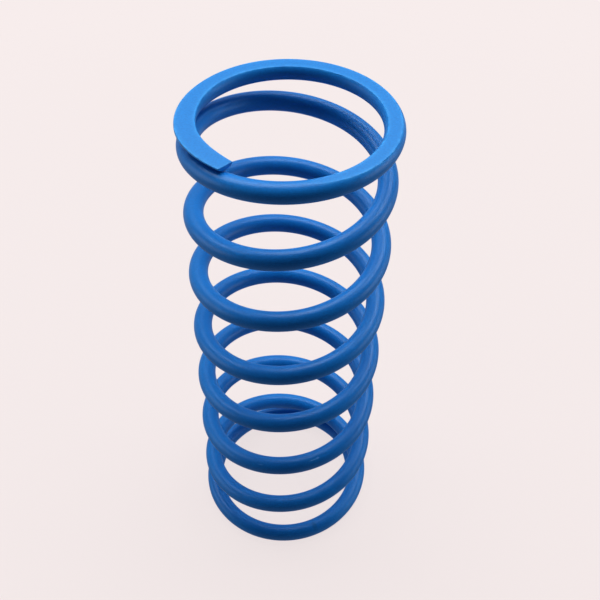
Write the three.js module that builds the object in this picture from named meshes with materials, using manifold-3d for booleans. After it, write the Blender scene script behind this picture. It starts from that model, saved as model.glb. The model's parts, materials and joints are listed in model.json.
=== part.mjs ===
// Coil-over compression spring: one round wire wound right-handed, with closed and ground ends.
// The wire is divided where it flexes: an end coil at the bottom, quarter turns up through the
// active coils, and an end coil at the top. Millimetres, +Z up along the spring's axis, origin on
// the axis in the plane of the bottom seat.

import * as THREE from 'three';
import { mergeVertices } from 'three/addons/utils/BufferGeometryUtils.js';
import Module from 'manifold-3d';

const wasm = await Module();
wasm.setup();

// ---- driving dimensions ----
const WIRE_DIAMETER = 7.1;
const INSIDE_DIAMETER = 60.1;
const ACTIVE_PITCH = 29.1;          // rise of one active turn
const TOTAL_TURNS = 8.656;
const BOTTOM_TIP_ANGLE = -4.2;      // degrees round +Z from +X, where the wire starts
const TIP_THICKNESS = 2.0;          // wire left under the ground face at its cut end
const TIP_CURL = 1.8;               // the cut end lies this much nearer to the axis
const CURL_TURNS = 0.12;            // over this part of a turn
const END_OVALITY = 0.5;            // the end coils are this much out of round
const OVALITY_PHASE = 0.15;         // turns from the tip to the first wide place
const OVALITY_FADE_START = 0.9;     // turns from the tip where the coils start to grow round
const OVALITY_FADE_LENGTH = 0.5;
const COIL_GAP = 0.3;               // between the cut end and the coil that it rests on
const CUT_GAP = 0.3;                // between two neighbouring stretches of the wire

// How the end coil is wound, in turns from the wire's tip: a short steep hook, a flat stretch,
// and then a smooth opening up to the active pitch.
const HOOK_END = 0.17;
const HOOK_BLEND = 0.12;
const OPENING_START = 0.64;
const OPENING_LENGTH = 0.56;

// Where the wire starts to flex, as plan angles that fall between two sides.
const FIRST_CUT_ANGLE = 135;
const QUARTERS = 23;

// Facets
const WIRE_SIDES = 12;
const STEPS_PER_QUARTER = 8;
const MERGE_DISTANCE = 1e-4;

const WIRE_RADIUS = WIRE_DIAMETER / 2;
const MEAN_RADIUS = INSIDE_DIAMETER / 2 + WIRE_RADIUS;
const SIDES_GOING_UP = ['left', 'front', 'right', 'rear'];

// ---- the wire's centre line ----

function smooth(x) {
  const t = THREE.MathUtils.clamp(x, 0, 1);
  return t * t * (3 - 2 * t);
}

// The integral of smooth() from 0 to x.
function smoothArea(x) {
  if (x <= 0) return 0;
  return x < 1 ? x ** 3 - x ** 4 / 2 : x - 0.5;
}

function openingRise(turns) {
  return ACTIVE_PITCH * OPENING_LENGTH * smoothArea((turns - OPENING_START) / OPENING_LENGTH);
}

function hookShare(turns) {
  return turns - HOOK_BLEND * smoothArea((turns - HOOK_END) / HOOK_BLEND);
}

// After one turn the wire has risen just enough to pass over its own tip.
const CONTACT_RISE = Math.sqrt((WIRE_DIAMETER + COIL_GAP) ** 2 - TIP_CURL ** 2);
const HOOK_PITCH = (CONTACT_RISE - openingRise(1)) / hookShare(1);

function riseFromTip(turns) {
  return HOOK_PITCH * hookShare(turns) + openingRise(turns);
}

const TIP_HEIGHT = TIP_THICKNESS - WIRE_RADIUS;      // of the tip's centre, so below the seat
const TIP_TO_TIP = 2 * riseFromTip(TOTAL_TURNS / 2);
const FREE_LENGTH = TIP_TO_TIP + 2 * TIP_HEIGHT;

function wireHeight(turns) {
  if (turns < TOTAL_TURNS / 2) return TIP_HEIGHT + riseFromTip(turns);
  return FREE_LENGTH - TIP_HEIGHT - riseFromTip(TOTAL_TURNS - turns);
}

function coilRadius(turns) {
  const fromTip = Math.min(turns, TOTAL_TURNS - turns);
  const curl = TIP_CURL * (1 - smooth(fromTip / CURL_TURNS));
  const grown = smooth(fromTip / OVALITY_PHASE);
  const faded = smooth((fromTip - OVALITY_FADE_START) / OVALITY_FADE_LENGTH);
  const wave = Math.cos(4 * Math.PI * (fromTip - OVALITY_PHASE));
  return MEAN_RADIUS - curl + END_OVALITY * wave * grown * (1 - faded);
}

function turnsAt(angle) {
  return (angle - BOTTOM_TIP_ANGLE) / 360;
}

// A stretch of the wire between two turn counts. Its sections stand upright in planes through the
// spring's axis, so two neighbouring stretches can slide past each other along the axis with the
// gap between them unchanged. An upright section of the sloping wire is taller than the wire by
// one over the cosine of its slope.
class WireCurve extends THREE.Curve {
  constructor(fromTurns, toTurns) {
    super();
    this.from = fromTurns;
    this.to = toTurns;
  }

  getPoint(t, target = new THREE.Vector3()) {
    const turns = THREE.MathUtils.lerp(this.from, this.to, t);
    const angle = THREE.MathUtils.degToRad(BOTTOM_TIP_ANGLE + 360 * turns);
    const radius = coilRadius(turns);
    return target.set(radius * Math.cos(angle), radius * Math.sin(angle), wireHeight(turns));
  }

  computeFrenetFrames(segments) {
    const frames = { tangents: [], normals: [], binormals: [] };
    for (let i = 0; i <= segments; i += 1) {
      const tangent = this.getTangentAt(i / segments);
      const slopeCosine = Math.hypot(tangent.x, tangent.y);
      frames.tangents.push(tangent);
      frames.normals.push(this.getPointAt(i / segments).setZ(0).normalize());
      frames.binormals.push(new THREE.Vector3(0, 0, -1 / slopeCosine));
    }
    return frames;
  }
}

function wireSection() {
  const shape = new THREE.Shape();
  for (let i = 0; i < WIRE_SIDES; i += 1) {
    const angle = (2 * Math.PI * i) / WIRE_SIDES;
    const x = WIRE_RADIUS * Math.cos(angle);
    const y = WIRE_RADIUS * Math.sin(angle);
    if (i === 0) shape.moveTo(x, y);
    else shape.lineTo(x, y);
  }
  shape.closePath();
  return shape;
}

function wireStretch(fromTurns, toTurns) {
  const steps = Math.round((toTurns - fromTurns) * 4 * STEPS_PER_QUARTER);
  return new THREE.ExtrudeGeometry(wireSection(), {
    steps,
    bevelEnabled: false,
    extrudePath: new WireCurve(fromTurns, toTurns),
  });
}

// ---- solids ----

function toSolid(geometry) {
  const bare = geometry.clone();
  bare.deleteAttribute('normal');
  bare.deleteAttribute('uv');
  const merged = mergeVertices(bare, MERGE_DISTANCE);
  return new wasm.Manifold(new wasm.Mesh({
    numProp: 3,
    vertProperties: Float32Array.from(merged.attributes.position.array),
    triVerts: Uint32Array.from(merged.index.array),
  }));
}

function toGeometry(solid) {
  const mesh = solid.getMesh();
  const geometry = new THREE.BufferGeometry();
  geometry.setAttribute('position', new THREE.BufferAttribute(mesh.vertProperties, mesh.numProp));
  geometry.setIndex(new THREE.BufferAttribute(mesh.triVerts, 1));
  geometry.computeVertexNormals();
  return geometry;
}

// The grinding wheel takes off everything outside the seat's plane.
function ground(geometry, seatHeight, outwards) {
  const width = 4 * MEAN_RADIUS;
  const wheel = new THREE.BoxGeometry(width, width, WIRE_DIAMETER);
  wheel.translate(0, 0, seatHeight + (outwards * WIRE_DIAMETER) / 2);
  return toGeometry(toSolid(geometry).subtract(toSolid(wheel)));
}

// ---- the assembly ----

function paintedSteel() {
  return new THREE.MeshStandardMaterial({ color: 0x1c66b8, roughness: 0.42, metalness: 0.0 });
}

function named(name, geometry) {
  const mesh = new THREE.Mesh(geometry, paintedSteel());
  mesh.name = name;
  return mesh;
}

const halfCut = CUT_GAP / 2 / (2 * Math.PI * MEAN_RADIUS);
const firstCut = turnsAt(FIRST_CUT_ANGLE) + 1;
const lastCut = firstCut + QUARTERS / 4;

function bottomEndCoil() {
  return named('bottom_end_coil', ground(wireStretch(0, firstCut - halfCut), 0, -1));
}

function topEndCoil() {
  const stretch = wireStretch(lastCut + halfCut, TOTAL_TURNS);
  return named('top_end_coil', ground(stretch, FREE_LENGTH, 1));
}

function quarterTurn(index) {
  const start = firstCut + index / 4;
  const coil = Math.floor(index / 4) + 1;
  const name = `coil_${coil}_${SIDES_GOING_UP[index % 4]}`;
  return named(name, wireStretch(start + halfCut, start + 1 / 4 - halfCut));
}

const spring = new THREE.Group();
spring.add(bottomEndCoil());
for (let index = 0; index < QUARTERS; index += 1) spring.add(quarterTurn(index));
spring.add(topEndCoil());

export default spring;
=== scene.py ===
import json
import math

import bpy
import numpy as np
from mathutils import Matrix, Vector

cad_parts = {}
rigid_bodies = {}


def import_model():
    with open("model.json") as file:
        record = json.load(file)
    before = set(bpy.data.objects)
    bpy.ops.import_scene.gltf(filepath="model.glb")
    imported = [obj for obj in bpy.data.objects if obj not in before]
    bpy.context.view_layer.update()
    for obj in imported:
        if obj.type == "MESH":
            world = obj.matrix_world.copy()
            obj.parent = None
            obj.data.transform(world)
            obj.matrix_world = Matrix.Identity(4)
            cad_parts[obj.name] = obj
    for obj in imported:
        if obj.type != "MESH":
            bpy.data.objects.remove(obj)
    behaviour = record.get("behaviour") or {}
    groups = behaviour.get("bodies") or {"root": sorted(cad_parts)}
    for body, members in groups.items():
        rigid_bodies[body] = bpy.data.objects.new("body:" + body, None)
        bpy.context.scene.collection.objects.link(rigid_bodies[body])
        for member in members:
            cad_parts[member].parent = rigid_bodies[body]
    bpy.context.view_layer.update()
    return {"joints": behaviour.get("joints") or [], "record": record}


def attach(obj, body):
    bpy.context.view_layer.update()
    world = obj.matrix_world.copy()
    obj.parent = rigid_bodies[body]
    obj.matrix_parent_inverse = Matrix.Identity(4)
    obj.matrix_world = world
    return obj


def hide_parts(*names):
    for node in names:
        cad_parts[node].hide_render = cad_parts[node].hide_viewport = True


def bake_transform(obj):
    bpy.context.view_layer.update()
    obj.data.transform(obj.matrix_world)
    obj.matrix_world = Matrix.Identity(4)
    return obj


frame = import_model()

# Coil-over compression spring: the looks. The CAD model divides the wire into two end coils and
# quarter turns, each on a body of its own. Here the same wire is one smooth powder-coated run,
# in stretches that meet in the middle of each body, so each stretch spans one joint.
# Metres, in the frame of the CAD.

# ---- the wire ----
WIRE_RADIUS = 0.00355
MEAN_RADIUS = 0.0336
ACTIVE_PITCH = 0.0291
TOTAL_TURNS = 8.656
BOTTOM_TIP_ANGLE = math.radians(-4.2)
TIP_THICKNESS = 0.0020
TIP_CURL = 0.0018
CURL_TURNS = 0.12
END_OVALITY = 0.0005
OVALITY_PHASE = 0.15
OVALITY_FADE_START = 0.9
OVALITY_FADE_LENGTH = 0.5
COIL_GAP = 0.0003
HOOK_END = 0.17
HOOK_BLEND = 0.12
OPENING_START = 0.64
OPENING_LENGTH = 0.56
FIRST_CUT_ANGLE = math.radians(135)
QUARTERS = 23

# ---- the mesh ----
SIDES = 64                  # round the wire; even
STEPS_PER_TURN = 144
SEAT_EDGE_RADIUS = 0.00035  # where the ground seat meets the round of the wire
TIP_EDGE_RADIUS = 0.0003    # round the wire's cut end
TIP_EDGE_STEPS = 5
TIP_SKEW = math.tan(math.radians(9))  # the wire is cut off a little aslant, longest inside
TIP_SKEW_TURNS = 0.02       # over this part of a turn the sections turn aslant
EDGE_FADE = 0.0004          # how far the painted edge highlight reaches from an edge
SEAT_FADE = 0.0004          # how much ground-off height the seat's edge needs to be a sharp one, with the full painted edge highlight


# ---- the wire's centre line, as in the CAD ----

def smooth(x):
    t = np.clip(x, 0, 1)
    return t * t * (3 - 2 * t)


def smooth_area(x):
    """The integral of smooth() from 0 to x."""
    t = np.clip(x, 0, 1)
    return t ** 3 - t ** 4 / 2 + np.clip(x - 1, 0, None)


def opening_rise(turns):
    return ACTIVE_PITCH * OPENING_LENGTH * smooth_area((turns - OPENING_START) / OPENING_LENGTH)


def hook_share(turns):
    return turns - HOOK_BLEND * smooth_area((turns - HOOK_END) / HOOK_BLEND)


CONTACT_RISE = math.sqrt((2 * WIRE_RADIUS + COIL_GAP) ** 2 - TIP_CURL ** 2)
HOOK_PITCH = (CONTACT_RISE - opening_rise(1.0)) / hook_share(1.0)


def rise_from_tip(turns):
    return HOOK_PITCH * hook_share(turns) + opening_rise(turns)


TIP_HEIGHT = TIP_THICKNESS - WIRE_RADIUS
FREE_LENGTH = 2 * (rise_from_tip(TOTAL_TURNS / 2) + TIP_HEIGHT)


def wire_height(turns):
    lower = TIP_HEIGHT + rise_from_tip(turns)
    upper = FREE_LENGTH - TIP_HEIGHT - rise_from_tip(TOTAL_TURNS - turns)
    return np.where(turns < TOTAL_TURNS / 2, lower, upper)


def coil_radius(turns):
    from_tip = np.minimum(turns, TOTAL_TURNS - turns)
    curl = TIP_CURL * (1 - smooth(from_tip / CURL_TURNS))
    grown = smooth(from_tip / OVALITY_PHASE)
    faded = smooth((from_tip - OVALITY_FADE_START) / OVALITY_FADE_LENGTH)
    wave = np.cos(4 * math.pi * (from_tip - OVALITY_PHASE))
    return MEAN_RADIUS - curl + END_OVALITY * wave * grown * (1 - faded)


def plan_angle(turns):
    return BOTTOM_TIP_ANGLE + 2 * math.pi * turns


# ---- sections of the wire ----

def upright_section(reach):
    """A section of the wire, ground flat `reach` above its centre, with rounded edges.

    Returns four arrays, one number for each side: the distance outwards, the distance up, the
    angle that the surface faces, and the nearness to the seat's edge.
    """
    share = np.arange(SIDES) / SIDES
    if reach >= WIRE_RADIUS:
        facing = 2 * math.pi * share - math.pi / 2
        return WIRE_RADIUS * np.cos(facing), WIRE_RADIUS * np.sin(facing), facing, 0 * share
    edge = SEAT_EDGE_RADIUS
    half_flat = math.sqrt((WIRE_RADIUS - edge) ** 2 - (reach - edge) ** 2)
    corner = math.atan2(reach - edge, half_flat)
    up = math.pi / 2
    angles = np.array([-up, corner, up, up, math.pi - corner, 3 * up])
    arc = WIRE_RADIUS * (corner + up)
    bend = edge * (up - corner)
    lengths = np.array([arc, bend, 2 * half_flat, bend, arc])
    # points are spread half by length and half by turning, so that the edges get enough of them
    shares = lengths / lengths.sum() / 2 + np.diff(angles) / (4 * math.pi)
    measure = np.concatenate([[0], np.cumsum(shares)])
    facing = np.interp(share, measure, angles)
    across = np.interp(share, measure, [0, 0, half_flat, -half_flat, 0, 0])
    part = np.clip(np.searchsorted(measure, share, side="right") - 1, 0, 4)
    round_part = (part == 0) | (part == 4)
    flat_part = part == 2
    radius = np.where(round_part, WIRE_RADIUS, edge)
    radius = np.where(flat_part, 0, radius)
    side = np.where(part < 2, 1, -1)
    offset = np.where(round_part, 0, np.where(flat_part, across, side * half_flat))
    lift = np.where(round_part, 0, np.where(flat_part, reach, reach - edge))
    from_edge = np.where(flat_part, half_flat - abs(across), 0)
    turned = np.minimum(abs(facing - corner), abs(math.pi - corner - facing))
    from_edge = np.where(round_part, WIRE_RADIUS * turned, from_edge)
    # the nearness to an edge places the painted edge highlight
    nearness = np.exp(-from_edge / EDGE_FADE) * smooth((WIRE_RADIUS - reach) / SEAT_FADE)
    return offset + radius * np.cos(facing), lift + radius * np.sin(facing), facing, nearness


def half_way_round(values):
    return np.roll(values, SIDES // 2)


class Wire:
    """The whole wire as rings of points, one ring for each station along it."""

    def __init__(self, turns, inset):
        self.turns = turns
        radius, angle, height = coil_radius(turns), plan_angle(turns), wire_height(turns)
        slope = np.gradient(height, turns) / (2 * math.pi * MEAN_RADIUS)
        cosine = 1 / np.sqrt(1 + slope ** 2)
        away = np.stack([np.cos(angle), np.sin(angle), 0 * angle], 1)
        onward = np.stack([-np.sin(angle), np.cos(angle), 0 * angle], 1)
        along = (onward + np.outer(slope, [0, 0, 1])) * cosine[:, None]
        self.along = along
        centre = away * radius[:, None] + np.outer(height, [0, 0, 1])
        lengths = np.linalg.norm(np.diff(centre, axis=0), axis=1)
        distance = np.concatenate([[0], np.cumsum(lengths)])
        points, places, edges = [], [], []
        for i in range(len(turns)):
            over, under = FREE_LENGTH - height[i], height[i]
            out, up, facing, edge = upright_section(min(over, under) * cosine[i])
            if under < over:
                out, up, edge = -half_way_round(out), -half_way_round(up), half_way_round(edge)
                facing = half_way_round(facing) + math.pi
            out = out - inset[i] * np.cos(facing)
            up = (up - inset[i] * np.sin(facing)) / cosine[i]
            aslant = self.skew(turns[i]) * np.outer(out, onward[i])
            points.append(centre[i] + np.outer(out, away[i]) + np.outer(up, [0, 0, 1]) + aslant)
            places.append(np.stack([np.full(SIDES, distance[i]), out, up], 1))
            # the rounded cut end takes the painted edge highlight in full
            edges.append(np.maximum(edge, 1.0 if inset[i] else 0.0))
        self.points, self.places, self.edges = np.array(points), np.array(places), np.array(edges)
        self.normals = self.ring_normals()

    @staticmethod
    def skew(turns):
        """How far a section leans along the wire for each unit outwards, near the cut ends."""
        from_bottom, from_top = turns, TOTAL_TURNS - turns
        if from_bottom < from_top:
            return TIP_SKEW * (1 - smooth(from_bottom / TIP_SKEW_TURNS))
        return -TIP_SKEW * (1 - smooth(from_top / TIP_SKEW_TURNS))

    def end_normal(self, station):
        """The cut end's face, from its own outline."""
        ring = self.points[station]
        across = ring[SIDES // 2] - ring[0]
        upward = ring[SIDES // 4] - ring[3 * SIDES // 4]
        normal = np.cross(across, upward)
        normal /= np.linalg.norm(normal)
        return normal * np.sign(normal @ self.along[station])

    def ring_normals(self):
        round_it = np.roll(self.points, -1, 1) - np.roll(self.points, 1, 1)
        along_it = np.gradient(self.points, axis=0)
        normals = np.cross(along_it, round_it)
        normals /= np.linalg.norm(normals, axis=2, keepdims=True)
        normals[0] = -self.end_normal(0)
        normals[-1] = self.end_normal(-1)
        return normals

    def stretch(self, name, first, last):
        """The closed mesh from one station to another, as an object."""
        rings = last - first + 1
        count = rings * SIDES
        ring, side = np.meshgrid(np.arange(rings - 1), np.arange(SIDES), indexing="ij")
        here, there = ring * SIDES, (ring + 1) * SIDES
        after = (side + 1) % SIDES
        quads = np.stack([here + side, there + side, there + after, here + after], -1)
        faces = quads.reshape(-1, 4).tolist()
        faces.append(list(range(SIDES)))
        faces.append(list(range(count - SIDES, count))[::-1])
        mesh = bpy.data.meshes.new(name)
        mesh.from_pydata(self.points[first:last + 1].reshape(-1, 3).tolist(), [], faces)
        mesh.polygons.foreach_set("use_smooth", [True] * len(faces))
        corners = np.zeros(len(mesh.loops), int)
        mesh.loops.foreach_get("vertex_index", corners)
        normals = self.normals[first:last + 1].reshape(-1, 3)[corners]
        normals[-2 * SIDES:-SIDES] = -self.end_normal(first)
        normals[-SIDES:] = self.end_normal(last)
        mesh.normals_split_custom_set(normals.tolist())
        places = mesh.attributes.new("wire_place", "FLOAT_VECTOR", "POINT")
        places.data.foreach_set("vector", self.places[first:last + 1].astype(np.float32).ravel())
        rest = mesh.attributes.new("rest_place", "FLOAT_VECTOR", "POINT")
        rest.data.foreach_set("vector", self.points[first:last + 1].astype(np.float32).ravel())
        edge = mesh.attributes.new("edge_highlight", "FLOAT", "POINT")
        edge.data.foreach_set("value", self.edges[first:last + 1].astype(np.float32).ravel())
        obj = bpy.data.objects.new(name, mesh)
        bpy.context.scene.collection.objects.link(obj)
        return obj


# ---- the powder coat ----

PAINT = (0.0102, 0.240, 0.690, 1)
PAINT_DEEP = (0.0082, 0.211, 0.630, 1)
PAINT_SPECK = (0.0060, 0.180, 0.560, 1)
PAINT_SEAT_HIGHLIGHT = (0.0098, 0.258, 0.708, 1)  # painted highlight: the ground faces a little lighter, for the brightness of the lit flat on top
PAINT_EDGE_HIGHLIGHT = (0.035, 0.350, 0.830, 1)   # painted highlight: a lighter blue over sharp edges and the cut ends
SEAT_HIGHLIGHT_DEPTH = 0.0002                # below a seat, where the painted seat highlight gives way to the wire's colour
PAINT_RUBBED = (0.150, 0.430, 0.880, 1)
PAINT_DARK_SPOT = (0.006, 0.150, 0.420, 1)
GLOSS = 0.42                            # specular level of the cured powder
ROUGHNESS = (0.33, 0.41)

# Patterns in the coat: noise scale per metre, detail and roughness, and then the stretch of the
# noise that is used.
TONE = (45, 3, 0.5, 0.35, 0.65)
SPECKLE = (1300, 2, 0.6, 0.40, 0.66)
EDGE_HIGHLIGHT_NOISE = (420, 3, 0.5, 0.35, 0.62)
GRIT = (1500, 2, 0.5, 0.30, 0.55)
DULLNESS = (210, 3, 0.5, 0.3, 0.7)

# How far each pattern takes effect, at the two ends of its stretch.
SPECKLE_SHARE = (0.0, 0.5)
EDGE_HIGHLIGHT_SHARE = (0.25, 0.9)
GRIT_SHARE = (0.35, 1.0)

# Unevenness of the surface: noise scale per metre, detail, strength and depth.
ORANGE_PEEL = (480, 0, 0.30, 0.00003)
POWDER_GRAIN = (2400, 1, 0.20, 0.00001)

# Marks on the coat, lighter rubbed wear and one dark spot on the bottom coil: colour, distance
# along the wire, place in its section (out, up), length and width, and strength.
MARKS = (
    (PAINT_RUBBED, 0.5972, 0.00195, 0.00297, 0.0022, 0.00030, 0.9),
    (PAINT_RUBBED, 0.5988, 0.00185, 0.00303, 0.0007, 0.00055, 0.8),
    (PAINT_RUBBED, 0.5762, 0.00225, 0.00275, 0.0012, 0.00028, 0.5),
    # a dark spot on the top of the bottom coil, at its front
    (PAINT_DARK_SPOT, 0.1738, 0.00120, 0.00334, 0.0012, 0.00260, 0.6),
)
MARK_CORE = 0.4                         # of a mark's size, full strength up to here
MARK_RIM = 1.2                          # and none from here on


def node(tree, kind, **settings):
    made = tree.nodes.new(kind)
    for key, value in settings.items():
        setattr(made, key, value)
    return made


def noise(tree, place, scale, detail, roughness=0.5):
    made = node(tree, "ShaderNodeTexNoise")
    made.inputs["Scale"].default_value = scale
    made.inputs["Detail"].default_value = detail
    made.inputs["Roughness"].default_value = roughness
    tree.links.new(place, made.inputs["Vector"])
    return made.outputs["Fac"]


def spread(tree, value, low, high, to_low=0.0, to_high=1.0):
    made = node(tree, "ShaderNodeMapRange", clamp=True)
    for key, number in zip(("From Min", "From Max", "To Min", "To Max"),
                           (low, high, to_low, to_high)):
        made.inputs[key].default_value = number
    tree.links.new(value, made.inputs["Value"])
    return made.outputs["Result"]


def pattern(tree, place, scale, detail, roughness, low, high, to_low=0.0, to_high=1.0):
    return spread(tree, noise(tree, place, scale, detail, roughness), low, high, to_low, to_high)


def product(tree, first, second):
    made = node(tree, "ShaderNodeMath", operation="MULTIPLY")
    for socket, value in zip(made.inputs, (first, second)):
        if isinstance(value, float):
            socket.default_value = value
        else:
            tree.links.new(value, socket)
    return made.outputs["Value"]


def mixed(tree, factor, first, second):
    made = node(tree, "ShaderNodeMix", data_type="RGBA")
    tree.links.new(factor, made.inputs["Factor"])
    for key, value in (("A", first), ("B", second)):
        if isinstance(value, tuple):
            made.inputs[key].default_value = value
        else:
            tree.links.new(value, made.inputs[key])
    return made.outputs["Result"]


def mark_shape(tree, wire_place, grit, distance, out, up, length, width, strength):
    """1 in the middle of a mark and 0 outside it, with a broken edge."""
    offset = node(tree, "ShaderNodeVectorMath", operation="SUBTRACT")
    tree.links.new(wire_place, offset.inputs[0])
    offset.inputs[1].default_value = (distance, out, up)
    scaled = node(tree, "ShaderNodeVectorMath", operation="MULTIPLY")
    tree.links.new(offset.outputs["Vector"], scaled.inputs[0])
    scaled.inputs[1].default_value = (1 / length, 1 / width, 1 / width)
    reach = node(tree, "ShaderNodeVectorMath", operation="LENGTH")
    tree.links.new(scaled.outputs["Vector"], reach.inputs[0])
    core = spread(tree, reach.outputs["Value"], MARK_RIM, MARK_CORE, 0.0, strength)
    return product(tree, core, grit)


def seat_shape(tree, place):
    """1 on the two ground seats and 0 on the rest of the wire."""
    split = node(tree, "ShaderNodeSeparateXYZ")
    tree.links.new(place, split.inputs["Vector"])
    from_middle = node(tree, "ShaderNodeMath", operation="SUBTRACT")
    tree.links.new(split.outputs["Z"], from_middle.inputs[0])
    from_middle.inputs[1].default_value = FREE_LENGTH / 2
    distance = node(tree, "ShaderNodeMath", operation="ABSOLUTE")
    tree.links.new(from_middle.outputs["Value"], distance.inputs[0])
    seat = FREE_LENGTH / 2
    return spread(tree, distance.outputs["Value"], seat - SEAT_HIGHLIGHT_DEPTH,
                  seat - SEAT_HIGHLIGHT_DEPTH / 4)


def bumped(tree, place, scale, detail, strength, depth):
    made = node(tree, "ShaderNodeBump")
    made.inputs["Strength"].default_value = strength
    made.inputs["Distance"].default_value = depth
    tree.links.new(noise(tree, place, scale, detail), made.inputs["Height"])
    return made


def powder_coat():
    material = bpy.data.materials.new("powder_coat")
    material.use_nodes = True
    tree = material.node_tree
    shader = tree.nodes["Principled BSDF"]
    rest = node(tree, "ShaderNodeAttribute", attribute_name="rest_place").outputs["Vector"]
    section = node(tree, "ShaderNodeAttribute", attribute_name="wire_place").outputs["Vector"]
    edge = node(tree, "ShaderNodeAttribute", attribute_name="edge_highlight").outputs["Fac"]

    colour = mixed(tree, pattern(tree, rest, *TONE), PAINT_DEEP, PAINT)
    # painted highlight: the ground seats are painted a little lighter, for the brightness of the
    # flat on top under the key light
    colour = mixed(tree, seat_shape(tree, rest), colour, PAINT_SEAT_HIGHLIGHT)
    speckle = pattern(tree, rest, *SPECKLE, *SPECKLE_SHARE)
    colour = mixed(tree, speckle, colour, PAINT_SPECK)
    # painted highlight: a lighter blue along sharp edges and the cut ends, broken up by noise
    edge_highlight_mask = product(tree, edge, pattern(tree, rest, *EDGE_HIGHLIGHT_NOISE, *EDGE_HIGHLIGHT_SHARE))
    colour = mixed(tree, edge_highlight_mask, colour, PAINT_EDGE_HIGHLIGHT)
    grit = pattern(tree, rest, *GRIT, *GRIT_SHARE)
    for paint, *shape in MARKS:
        colour = mixed(tree, mark_shape(tree, section, grit, *shape), colour, paint)
    tree.links.new(colour, shader.inputs["Base Color"])

    shader.inputs["Specular IOR Level"].default_value = GLOSS
    tree.links.new(pattern(tree, rest, *DULLNESS, *ROUGHNESS), shader.inputs["Roughness"])

    peel = bumped(tree, rest, *ORANGE_PEEL)
    grain = bumped(tree, rest, *POWDER_GRAIN)
    tree.links.new(peel.outputs["Normal"], grain.inputs["Normal"])
    tree.links.new(grain.outputs["Normal"], shader.inputs["Normal"])
    return material


# ---- the stretches of wire ----

first_cut = (FIRST_CUT_ANGLE - BOTTOM_TIP_ANGLE) / (2 * math.pi) + 1
seams = [0.0] + [first_cut + (i - 0.5) / 4 for i in range(QUARTERS + 2)] + [TOTAL_TURNS]


def stations():
    """Turns and inset of each station, and the number of the station at each seam."""
    angles = np.linspace(0, math.pi / 2, TIP_EDGE_STEPS + 1)
    inset = TIP_EDGE_RADIUS * (1 - np.sin(angles))
    advance = TIP_EDGE_RADIUS * (1 - np.cos(angles))
    advance = advance / (2 * math.pi * (MEAN_RADIUS - TIP_CURL))
    turns, at_seam = list(advance), [0]
    for start, end in zip(seams[:-1], seams[1:]):
        start = max(start, advance[-1])
        end = min(end, TOTAL_TURNS - advance[-1])
        steps = round((end - start) * STEPS_PER_TURN)
        turns += list(np.linspace(start, end, steps + 1)[1:])
        at_seam.append(len(turns) - 1)
    turns += list(TOTAL_TURNS - advance[::-1][1:])
    at_seam[-1] = len(turns) - 1
    insets = np.zeros(len(turns))
    insets[:len(inset)] = inset
    insets[-len(inset):] = inset[::-1]
    return np.array(turns), insets, at_seam


turns, insets, at_seam = stations()
wire = Wire(turns, insets)
coat = powder_coat()
joints = frame["joints"]
chain = [joints[0]["parent"]] + [joint["child"] for joint in joints]
bodies = frame["record"]["behaviour"]["bodies"]


def bend_evenly(first, last, ease):
    """Works out each point's share of the joint from its place along the stretch, easing in on
    the first stretch and out on the last. The shares are not applied to the wire."""
    share = (turns[first:last + 1] - turns[first]) / (turns[last] - turns[first])
    if ease == "in":
        share = 2 * share ** 2 - share ** 3
    if ease == "out":
        share = 1 - 2 * (1 - share) ** 2 + (1 - share) ** 3


for number, (first, last) in enumerate(zip(at_seam[:-1], at_seam[1:])):
    is_bottom, is_top = number == 0, number == len(chain)
    body = chain[min(number, len(chain) - 1)]
    name = "wire_" + ("bottom_end" if is_bottom else "top_end" if is_top else "to_" + body)
    piece = wire.stretch(name, first, last)
    piece.data.materials.append(coat)
    if is_bottom or is_top:
        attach(piece, body)
        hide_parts(*bodies[body])
        continue
    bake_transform(piece)
    bend_evenly(first, last, {1: "in", len(chain) - 1: "out"}.get(number))
    if number < len(chain) - 1:
        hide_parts(*bodies[body])


# ---- the studio ----

FLOOR_SIZE = 8.0
FLOOR_DROP = 0.00005
PALE = (0.780, 0.714, 0.710, 1)         # how the floor and the room behind it look
FRONT_BOUNCE = (0.105, 0.108, 0.124, 1) # what the floor in front of the spring sends up to it
BACK_BOUNCE = (0.40, 0.41, 0.43, 1)     # and the floor behind it
BOUNCE_START = -0.5                     # the one turns into the other between these depths
BOUNCE_FULL = 0.35
SHADOW_SHARE = 0.16                     # of the floor that takes shade from the lights
SHADOW_REACH = 0.45                     # no shade from here on, so the floor has no horizon
FRONT_FILL = (0.050, 0.053, 0.062, 1)   # the unlit room in front
BACK_FILL = (0.26, 0.27, 0.29, 1)       # the room behind
FILL_TURN = (-0.4, 0.6)                 # depths of a direction between which they meet
AIM = Vector((0, 0, 0.12))

# name, direction from the spring, distance, width, height, radiance
PANELS = (
    ("key_panel", (0.0, 0.32, 0.95), 0.7, 1.22, 0.37, 3.4),
    ("back_panel", (0.0, 0.74, 0.67), 1.6, 2.6, 0.50, 0.9),
    ("left_panel", (-0.99, -0.05, 0.14), 1.2, 0.9, 0.6, 1.35),
    ("right_panel", (0.99, -0.05, 0.14), 1.2, 0.9, 0.6, 1.65),
)


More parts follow.
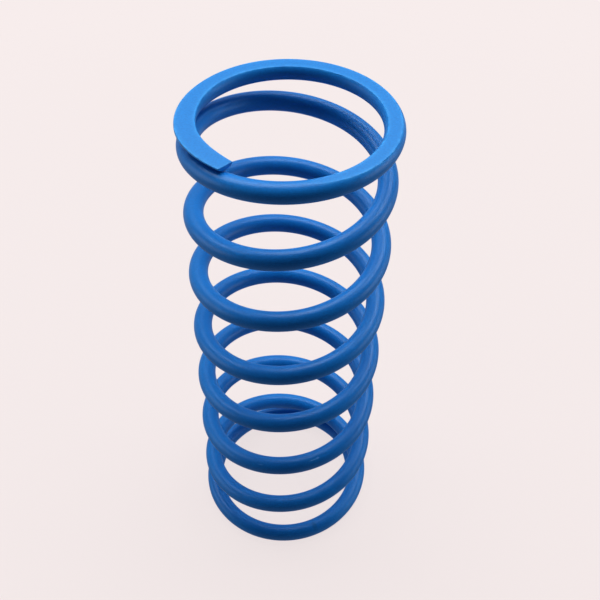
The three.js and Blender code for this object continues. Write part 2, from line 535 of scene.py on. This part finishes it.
def floor_material():
    """Pale to look at, and dark to the spring except where its gloss mirrors the far floor."""
    material = bpy.data.materials.new("studio_floor")
    material.use_nodes = True
    tree = material.node_tree
    tree.nodes.clear()
    place = node(tree, "ShaderNodeNewGeometry").outputs["Position"]
    split = node(tree, "ShaderNodeSeparateXYZ")
    tree.links.new(place, split.inputs["Vector"])
    far = spread(tree, split.outputs["Y"], BOUNCE_START, BOUNCE_FULL)
    path = node(tree, "ShaderNodeLightPath")
    unseen = mixed(tree, far, FRONT_BOUNCE, BACK_BOUNCE)
    glow = node(tree, "ShaderNodeEmission")
    tree.links.new(mixed(tree, path.outputs["Is Camera Ray"], unseen, PALE), glow.inputs["Color"])
    shade = node(tree, "ShaderNodeBsdfDiffuse")
    shade.inputs["Color"].default_value = PALE
    reach = node(tree, "ShaderNodeVectorMath", operation="LENGTH")
    tree.links.new(place, reach.inputs[0])
    near = spread(tree, reach.outputs["Value"], 0.0, SHADOW_REACH, SHADOW_SHARE, 0.0)
    share = product(tree, path.outputs["Is Camera Ray"], near)
    both = node(tree, "ShaderNodeMixShader")
    tree.links.new(share, both.inputs["Fac"])
    tree.links.new(glow.outputs["Emission"], both.inputs[1])
    tree.links.new(shade.outputs["BSDF"], both.inputs[2])
    end = node(tree, "ShaderNodeOutputMaterial")
    tree.links.new(both.outputs["Shader"], end.inputs["Surface"])
    return material


def floor():
    mesh = bpy.data.meshes.new("floor")
    half = FLOOR_SIZE / 2
    corners = [(x * half, y * half, -FLOOR_DROP) for x, y in ((-1, -1), (1, -1), (1, 1), (-1, 1))]
    mesh.from_pydata(corners, [], [(0, 1, 2, 3)])
    mesh.materials.append(floor_material())
    obj = bpy.data.objects.new("floor", mesh)
    bpy.context.scene.collection.objects.link(obj)


def panel(name, direction, distance, width, height, radiance):
    data = bpy.data.lights.new(name, "AREA")
    data.shape = "RECTANGLE"
    data.size, data.size_y = width, height
    data.energy = radiance * math.pi * width * height
    obj = bpy.data.objects.new(name, data)
    obj.location = AIM + Vector(direction).normalized() * distance
    obj.rotation_euler = Vector(direction).to_track_quat("Z", "Y").to_euler()
    obj.visible_camera = False
    bpy.context.scene.collection.objects.link(obj)


def room():
    world = bpy.data.worlds.new("studio")
    world.use_nodes = True
    tree = world.node_tree
    background = tree.nodes["Background"]
    direction = node(tree, "ShaderNodeTexCoord").outputs["Generated"]
    split = node(tree, "ShaderNodeSeparateXYZ")
    tree.links.new(direction, split.inputs["Vector"])
    fill = mixed(tree, spread(tree, split.outputs["Y"], *FILL_TURN), FRONT_FILL, BACK_FILL)
    seen = node(tree, "ShaderNodeLightPath").outputs["Is Camera Ray"]
    tree.links.new(mixed(tree, seen, fill, PALE), background.inputs["Color"])
    bpy.context.scene.world = world


# ---- the camera ----
CAMERA_PITCH = math.radians(45.947)
CAMERA_YAW = math.radians(1.042)
CAMERA_ROLL = math.radians(1.402)
CAMERA_PLACE = Vector((0.0, -0.251015, FREE_LENGTH - TIP_HEIGHT + 0.173625))
FOCAL_LENGTH = 55.90
SENSOR = 36.0               # millimetres, as is the focal length
CLIP_START = 0.01


def camera():
    data = bpy.data.cameras.new("camera")
    data.sensor_width = SENSOR
    data.lens = FOCAL_LENGTH
    data.clip_start = CLIP_START
    ahead = Vector((math.sin(CAMERA_YAW) * math.cos(CAMERA_PITCH),
                    math.cos(CAMERA_YAW) * math.cos(CAMERA_PITCH), -math.sin(CAMERA_PITCH)))
    level = Vector((math.cos(CAMERA_YAW), -math.sin(CAMERA_YAW), 0))
    upward = level.cross(ahead)
    right = math.cos(CAMERA_ROLL) * level + math.sin(CAMERA_ROLL) * upward
    up = math.cos(CAMERA_ROLL) * upward - math.sin(CAMERA_ROLL) * level
    turn = Matrix((right, up, -ahead)).transposed()
    obj = bpy.data.objects.new("camera", data)
    obj.matrix_world = Matrix.Translation(CAMERA_PLACE) @ turn.to_4x4()
    bpy.context.scene.collection.objects.link(obj)
    bpy.context.scene.camera = obj


floor()
room()
for each in PANELS:
    panel(*each)
camera()
bpy.context.scene.view_settings.view_transform = "Standard"
bpy.context.scene.view_settings.look = "Medium High Contrast"
